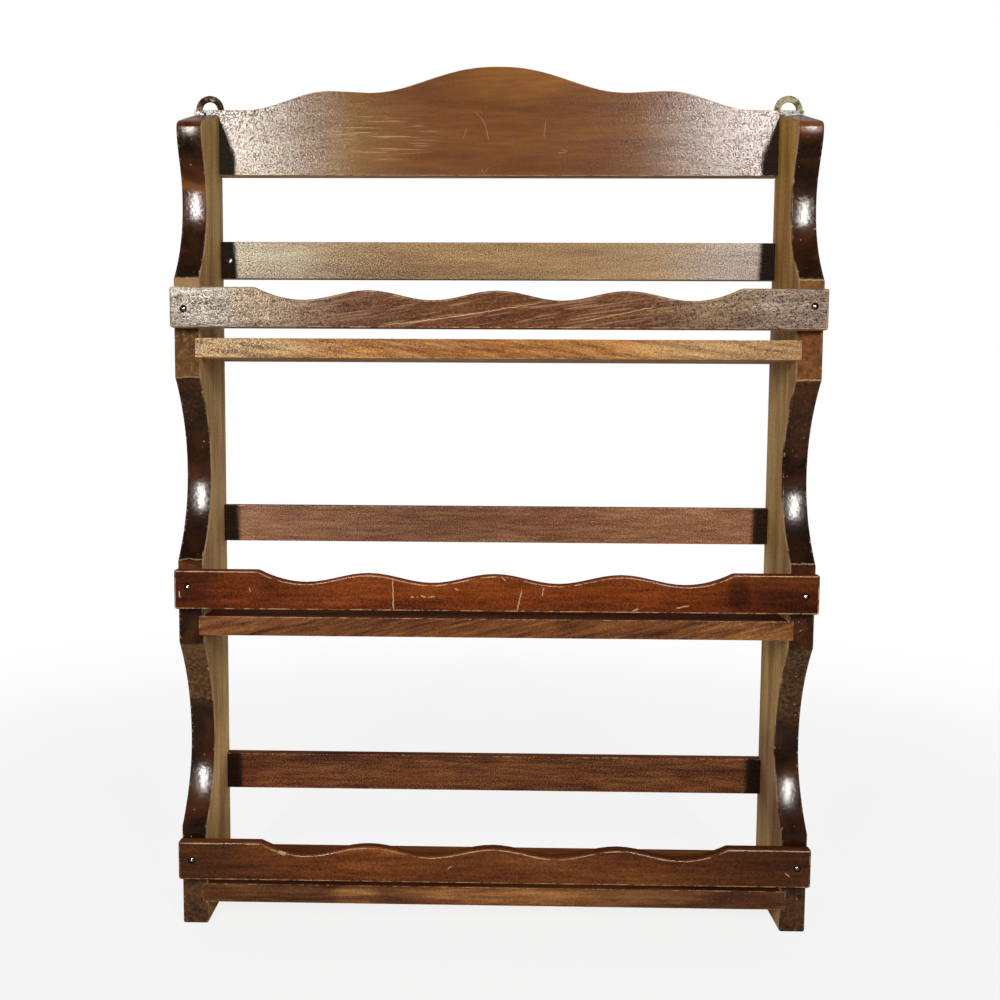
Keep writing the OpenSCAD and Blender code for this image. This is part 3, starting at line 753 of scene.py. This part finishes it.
class RACK_OT_back_slats(bpy.types.Operator):
    """Ease the three back slats and give each its own stain"""

    bl_idname = "rack.back_slats"
    bl_label = "Back slats"

    def execute(self, context):
        colours, sizes = context.scene.rack_colours, context.scene.rack_sizes
        worn = tuple(colours.worn)
        looks = {
            "upper_back_slat": dict(
                colour=tuple(colours.upper_slat), gloss=0.22, relief=0.1, figure=0.15, streak=0.2, pore=0.2,
                # The corner shade is painted shadow of the sides, the end patches painted glare, and the specks
                # painted shade in the grit's hollows
                sand=0.5, corner_shadow=0.07,
                stain_and_painted_light=(((1.05, 1.4, 1.8), -240, 425, -110, 470), ((1.02, 1.3, 2.4), 120, 425, 260, 470)),
                flecks=((0.75, -140, 434, -40, 462), (0.6, -90, 436, 60, 448), (0.4, 20, 440, 110, 464)),
                grit_shade_specks=((0.4, -260, 400, -130, 480), (0.45, -225, 415, -160, 485), (0.25, 110, 400, 260, 480)),
            ),
            "middle_back_slat": dict(
                colour=tuple(colours.middle_slat), gloss=0.25, relief=0.12, figure=0.2, streak=0.45, pore=0.2,
                # The corner shade is painted shadow of the sides
                sand=0.55, corner_shadow=0.1,
                stain_and_painted_light=(((1.2, 1.3, 1.4), -240, 245, -100, 290), ((1.3, 1.4, 1.45), 60, 245, 240, 290)),
                flecks=((0.6, -190, 255, 20, 281),),
            ),
            "lower_back_slat": dict(
                colour=tuple(colours.lower_slat), gloss=0.25, relief=0.12, figure=0.45, streak=0.7, pore=0.3,
                # The corner shade is painted shadow of the sides, and the dark red patch at the left end
                # painted half-shadow beside it
                sand=0.9, corner_shadow=0.12,
                stain_and_painted_light=(((0.8, 0.6, 0.6), -205, 60, -165, 110),),
            ),
        }
        for node, look in looks.items():
            woods = all_round(node, dict(wear=0.3, **look), sizes, worn)
            dress(board_mesh(node), node, woods, sizes.board_ease, 2, pick=board_side)
        return {"FINISHED"}


class RACK_OT_shelves(bpy.types.Operator):
    """Ease the three shelves and give each its own stain"""

    bl_idname = "rack.shelves"
    bl_label = "Shelves"

    def execute(self, context):
        colours, sizes = context.scene.rack_colours, context.scene.rack_sizes
        worn = tuple(colours.worn)
        looks = {
            "top_shelf": dict(
                colour=tuple(colours.top_shelf), turn=-6, gloss=0.25, figure=0.5, streak=0.55, pore=0.15,
                sand=0.35, wear=0.5,
                # The end patches are painted glare of the soft boxes
                stain_and_painted_light=(((1.4, 2.3, 4.8), -240, 380, -110, 395), ((1.02, 1.4, 2.8), 90, 380, 240, 395)),
                scuffs=((0.4, -12, -190, 380, 190, 395),),
            ),
            "middle_shelf": dict(
                colour=tuple(colours.middle_shelf), turn=14, gloss=0.25, figure=0.35, streak=0.7, pore=0.15,
                sand=0.35, wear=0.35,
                stain_and_painted_light=(((1.5, 1.8, 2.0), 120, 190, 200, 220),),
            ),
            "bottom_shelf": dict(
                colour=tuple(colours.bottom_shelf), gloss=0.25, figure=0.5, streak=0.5, pore=0.12, sand=0.3,
                wear=0.4,
                stain_and_painted_light=(((1.8, 1.9, 2.0), -60, 10, 70, 34), ((1.8, 2.0, 2.1), -108, 10, -78, 34)),
            ),
        }
        for node, look in looks.items():
            woods = all_round(node, dict(relief=0.12, **look), sizes, worn)
            dress(board_mesh(node), node, woods, sizes.board_ease, 2, pick=board_side)
        return {"FINISHED"}


class RACK_OT_rails(bpy.types.Operator):
    """Ease the three scalloped rails, with worn edges, scratches and a dish of painted shade round each nail"""

    bl_idname = "rack.rails"
    bl_label = "Gallery rails"

    def execute(self, context):
        colours, sizes = context.scene.rack_colours, context.scene.rack_sizes
        worn = tuple(colours.worn)
        looks = {
            "top_rail": dict(
                colour=tuple(colours.top_rail), turn=5, gloss=0.2, relief=0.08, figure=0.3, streak=0.5,
                pore=0.25, sand=0.22, wear=0.5,
                # The patches at both ends are painted glare of the soft boxes, whitened at the very ends
                stain_and_painted_light=(
                    ((2.3, 5.1, 17.0), -290, 370, -110, 450), ((2.0, 3.8, 10.5), 110, 370, 290, 450),
                    ((1.15, 1.5, 2.1), -240, 370, -165, 450), ((1.25, 1.5, 2.2), 160, 370, 240, 450),
                ),
                # The specks are painted shade in the grit's hollows
                grit_shade_specks=((0.2, -300, 360, -60, 460), (0.6, 60, 360, 300, 460), (0.3, -80, 380, 80, 440)),
                scuffs=((0.35, 9, -140, 398, 140, 424),),
                flecks=((0.9, 120, 390, 260, 436), (0.5, -250, 388, -120, 420)),
                marks=((-61, 402.5, 31, 417, 0.5), (55, 405, 99, 414, 0.5), (-72, 402, -8, 410, 0.4)),
            ),
            "middle_rail": dict(
                colour=tuple(colours.middle_rail), gloss=0.2, matt=0.22, relief=0.04, figure=0.55, streak=0.3,
                pore=0.04, sand=0.35, wear=0.6, ends=0.45,
                marks=(
                    (-66.8, 239, -66, 217.5, 0.7), (-55, 226.5, -53, 226.8, 0.7), (-51, 226.5, -50, 227, 0.7),
                    (-48, 227.5, -45, 226.5, 0.7), (-43.5, 226.8, -39, 227, 0.7), (17.5, 232, 14.5, 218, 0.7),
                    (31.4, 233.5, 31, 228, 0.7), (90, 219, 93, 220.5, 0.9), (118, 221, 125.7, 222.5, 0.8),
                    (-206.6, 229, -206, 225, 1.0), (-160.4, 231.5, -159.5, 229, 0.7),
                    (-26, 232.5, -24, 231.5, 0.8), (4, 240.5, 7, 238, 0.7),
                ),
                stain_and_painted_light=(
                    ((0.55, 0.5, 0.5), 150, 217, 166, 243), ((1.9, 1.9, 1.9), -190, 217, -150, 243),
                    ((1.2, 1.3, 1.5), -150, 200, -70, 260),
                ),
            ),
            "bottom_rail": dict(
                colour=tuple(colours.bottom_rail), gloss=0.2, matt=0.22, relief=0.04, figure=0.4, streak=0.3,
                pore=0.08, sand=0.35, wear=0.6, ends=0.5,
                stain_and_painted_light=(((1.5, 1.5, 1.3), -180, 10, -40, 90),),
                marks=((-143, 54.5, -138, 52.5, 2.4), (193, 44.5, 196, 42, 0.7), (-30, 44, -27, 46, 0.6)),
            ),
        }
        for node, look in looks.items():
            woods = all_round(node, look, sizes, worn)
            # The countersink round each nail is painted shade, near black
            woods.append(painted_shade_dish("grime_and_shade_countersink_" + node, look["colour"]))
            dress(
                board_mesh(node), node, woods, sizes.rail_ease, 3,
                pick=lambda face: 3 if is_dish(face) else board_side(face), rubbed=-0.9,
            )
        return {"FINISHED"}


class RACK_OT_hangers(bpy.types.Operator):
    """Round the stamped hanger plates and age their brass"""

    bl_idname = "rack.hangers"
    bl_label = "Hangers"

    def execute(self, context):
        colours, sizes = context.scene.rack_colours, context.scene.rack_sizes
        old = metal("tarnished_brass", tuple(colours.old_brass), linear("#2c2219"), cover=0.75, gloss=0.4)
        new = metal("pale_lacquered_brass", tuple(colours.new_brass), linear("#5a5138"), cover=0.5, gloss=0.6)
        for side, brass in (("left", old), ("right", new)):
            node = side + "_hanger"
            dress(board_mesh(node), node, [brass], sizes.hanger_ease, 3, wanted=is_ring_edge)
            finish_node(node + "_nails", brass)
        return {"FINISHED"}


class RACK_OT_nails(bpy.types.Operator):
    """Give the nails their steel and brass"""

    bl_idname = "rack.nails"
    bl_label = "Nails"

    def execute(self, context):
        colours = context.scene.rack_colours
        steel = metal("drawn_nail_steel", tuple(colours.nail_steel), linear("#4b4138"), cover=0.3, gloss=0.35)
        bright = metal("bright_nail_brass", linear("#d8ccb4"), linear("#8a7856"), cover=0.2, gloss=0.22)
        for node in sorted(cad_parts):
            if node.endswith("_nails") and "hanger" not in node:
                finish_node(node, bright if "rail" in node else steel)
        return {"FINISHED"}


# -------------------------------------------------------------------- stage


def lamp(name, place, aim, width, height, watts, spread):
    """A soft box with a grid, aimed at a point. The spread is in degrees."""
    data = bpy.data.lights.new(name, "AREA")
    data.shape, data.size, data.size_y = "RECTANGLE", width, height
    data.energy, data.spread, data.color = watts, math.radians(spread), (1.0, 0.965, 0.91)
    box = bpy.data.objects.new(name, data)
    box.location = place
    box.rotation_euler = (Vector(aim) - Vector(place)).to_track_quat("-Z", "Y").to_euler()
    box.visible_camera = False
    bpy.context.scene.collection.objects.link(box)


class RACK_OT_stage(bpy.types.Operator):
    """Lay the floor, hang two soft boxes and set the camera"""

    bl_idname = "rack.stage"
    bl_label = "Studio"

    def execute(self, context):
        scene = context.scene
        for side, height, name in ((-1, 0.71, "left_soft_box"), (1, 0.83, "right_soft_box")):
            aim = (0.2 * side, 0, 0.3)
            lamp(name, (0.45 * side, -1.0, height), aim, width=0.06, height=0.44, watts=1.95, spread=90)

        # Pale floor: white to the eye, with the rack's shadow on it
        mesh = bmesh.new()
        bmesh.ops.create_grid(mesh, x_segments=1, y_segments=1, size=4.0)
        data = bpy.data.meshes.new("floor")
        mesh.to_mesh(data)
        mesh.free()
        floor = bpy.data.objects.new("floor", data)
        scene.collection.objects.link(floor)
        material, tree = new_material("pale_painted_floor")
        # In reflections only the floor behind the rack glows, and faintly
        path = add(tree, "LightPath")
        place = add(tree, "TexCoord").outputs["Object"]
        back = add(
            tree, "MapRange",
            {"Value": add(tree, "SeparateXYZ", {0: place}).outputs[1], "From Min": 0.05, "From Max": 0.3},
        ).outputs[0]
        mirrored = add(
            tree, "Math", {0: path.outputs["Is Glossy Ray"], 1: path.outputs["Is Transmission Ray"]},
            operation="MAXIMUM",
        ).outputs[0]
        mirrored = add(tree, "Math", {0: mirrored, 1: back}, operation="MULTIPLY").outputs[0]
        mirrored = add(tree, "Math", {0: mirrored, 1: 0.3}, operation="MULTIPLY").outputs[0]
        seen = add(
            tree, "Math", {0: path.outputs["Is Camera Ray"], 1: mirrored}, operation="MAXIMUM"
        ).outputs[0]
        tint = add(
            tree, "Mix", {0: path.outputs["Is Glossy Ray"], 6: (0.6, 0.6, 0.6, 1.0), 7: (0.2, 0.2, 0.2, 1.0)},
            data_type="RGBA",
        ).outputs[2]
        # The camera sees white, with some of the paint near the rack, where its shadow falls
        paint = add(tree, "BsdfDiffuse", {"Color": tint})
        white = add(tree, "Emission", {"Color": (1.0, 1.0, 1.0, 1.0), "Strength": 1.0})
        near = add(tree, "VectorMath", {0: place}, operation="LENGTH").outputs["Value"]
        near = add(
            tree, "MapRange", {"Value": near, "From Min": 1.1, "From Max": 0.35, "To Max": 0.15},
            interpolation_type="SMOOTHSTEP",
        ).outputs[0]
        pale = add(tree, "MixShader", {0: near, 1: white.outputs[0], 2: paint.outputs[0]})
        both = add(tree, "MixShader", {0: seen, 1: paint.outputs[0], 2: pale.outputs[0]})
        add(tree, "OutputMaterial", {"Surface": both.outputs[0]})
        data.materials.append(material)

        # A bright backdrop behind the rack and a dim room in front of it, and white to the camera
        world = bpy.data.worlds.new("studio")
        world.use_nodes = True
        scene.world = world
        tree = world.node_tree
        tree.nodes.clear()
        way = add(tree, "SeparateXYZ", {0: add(tree, "TexCoord").outputs["Generated"]}).outputs[1]
        glow = add(
            tree, "MapRange", {"Value": way, "From Min": -0.1, "From Max": 0.5, "To Min": 0.06, "To Max": 0.8},
            interpolation_type="SMOOTHSTEP",
        ).outputs[0]
        behind = add(
            tree, "MapRange", {"Value": way, "From Min": 0.0, "From Max": 0.4}, interpolation_type="SMOOTHSTEP"
        ).outputs[0]
        path = add(tree, "LightPath")
        mirrored = add(
            tree, "Math", {0: path.outputs["Is Glossy Ray"], 1: path.outputs["Is Transmission Ray"]},
            operation="MAXIMUM",
        )
        soft = add(tree, "MapRange", {"Value": behind, "To Min": 0.03, "To Max": 0.3}).outputs[0]
        level = add(tree, "Mix", {0: mirrored.outputs[0], 2: glow, 3: soft}, data_type="FLOAT").outputs[0]
        level = add(
            tree, "Mix", {0: path.outputs["Is Camera Ray"], 2: level, 3: 1.0}, data_type="FLOAT"
        ).outputs[0]
        light = add(tree, "Background", {"Color": (1.0, 1.0, 1.0, 1.0), "Strength": level})
        add(tree, "OutputWorld", {"Surface": light.outputs[0]})

        # The camera that took the photograph: yaw, pitch and roll in radians
        yaw, pitch, roll = -0.01999, 0.08063, 0.00549
        data = bpy.data.cameras.new("camera")
        data.sensor_width, data.lens = 36.0, 38.70
        data.shift_x, data.shift_y = 0.0365, -0.0086
        camera = bpy.data.objects.new("camera", data)
        turn = Matrix.Rotation(-yaw, 3, "Z") @ Matrix.Rotation(
            math.pi / 2 - pitch, 3, "X"
        ) @ Matrix.Rotation(roll, 3, "Z")
        camera.location = (-0.00699, -0.72988, 0.35178)
        camera.rotation_euler = turn.to_euler()
        scene.collection.objects.link(camera)
        scene.camera = camera
        scene.view_settings.view_transform = "Standard"
        return {"FINISHED"}


class RACK_PT_panel(bpy.types.Panel):
    """Sizes, colours and steps of the spice rack"""

    bl_idname = "RACK_PT_panel"
    bl_label = "Wall spice rack"
    bl_space_type = "VIEW_3D"
    bl_region_type = "UI"
    bl_category = "Spice rack"

    def draw(self, context):
        for group in (context.scene.rack_sizes, context.scene.rack_colours):
            column = self.layout.column()
            for name in group.__annotations__:
                column.prop(group, name)
        for step in STEPS:
            self.layout.operator(step.bl_idname)


STEPS = (
    RACK_OT_sides, RACK_OT_crest, RACK_OT_back_slats, RACK_OT_shelves,
    RACK_OT_rails, RACK_OT_hangers, RACK_OT_nails, RACK_OT_stage,
)
CLASSES = (RackColours, RackSizes, *STEPS, RACK_PT_panel)


def register():
    for item in CLASSES:
        bpy.utils.register_class(item)
    bpy.types.Scene.rack_colours = bpy.props.PointerProperty(type=RackColours)
    bpy.types.Scene.rack_sizes = bpy.props.PointerProperty(type=RackSizes)


def unregister():
    del bpy.types.Scene.rack_sizes
    del bpy.types.Scene.rack_colours
    for item in reversed(CLASSES):
        bpy.utils.unregister_class(item)


def main():
    """Runs every step."""
    register()
    for step in STEPS:
        group, name = step.bl_idname.split(".")
        getattr(getattr(bpy.ops, group), name)()


if __name__ == "__main__":
    main()
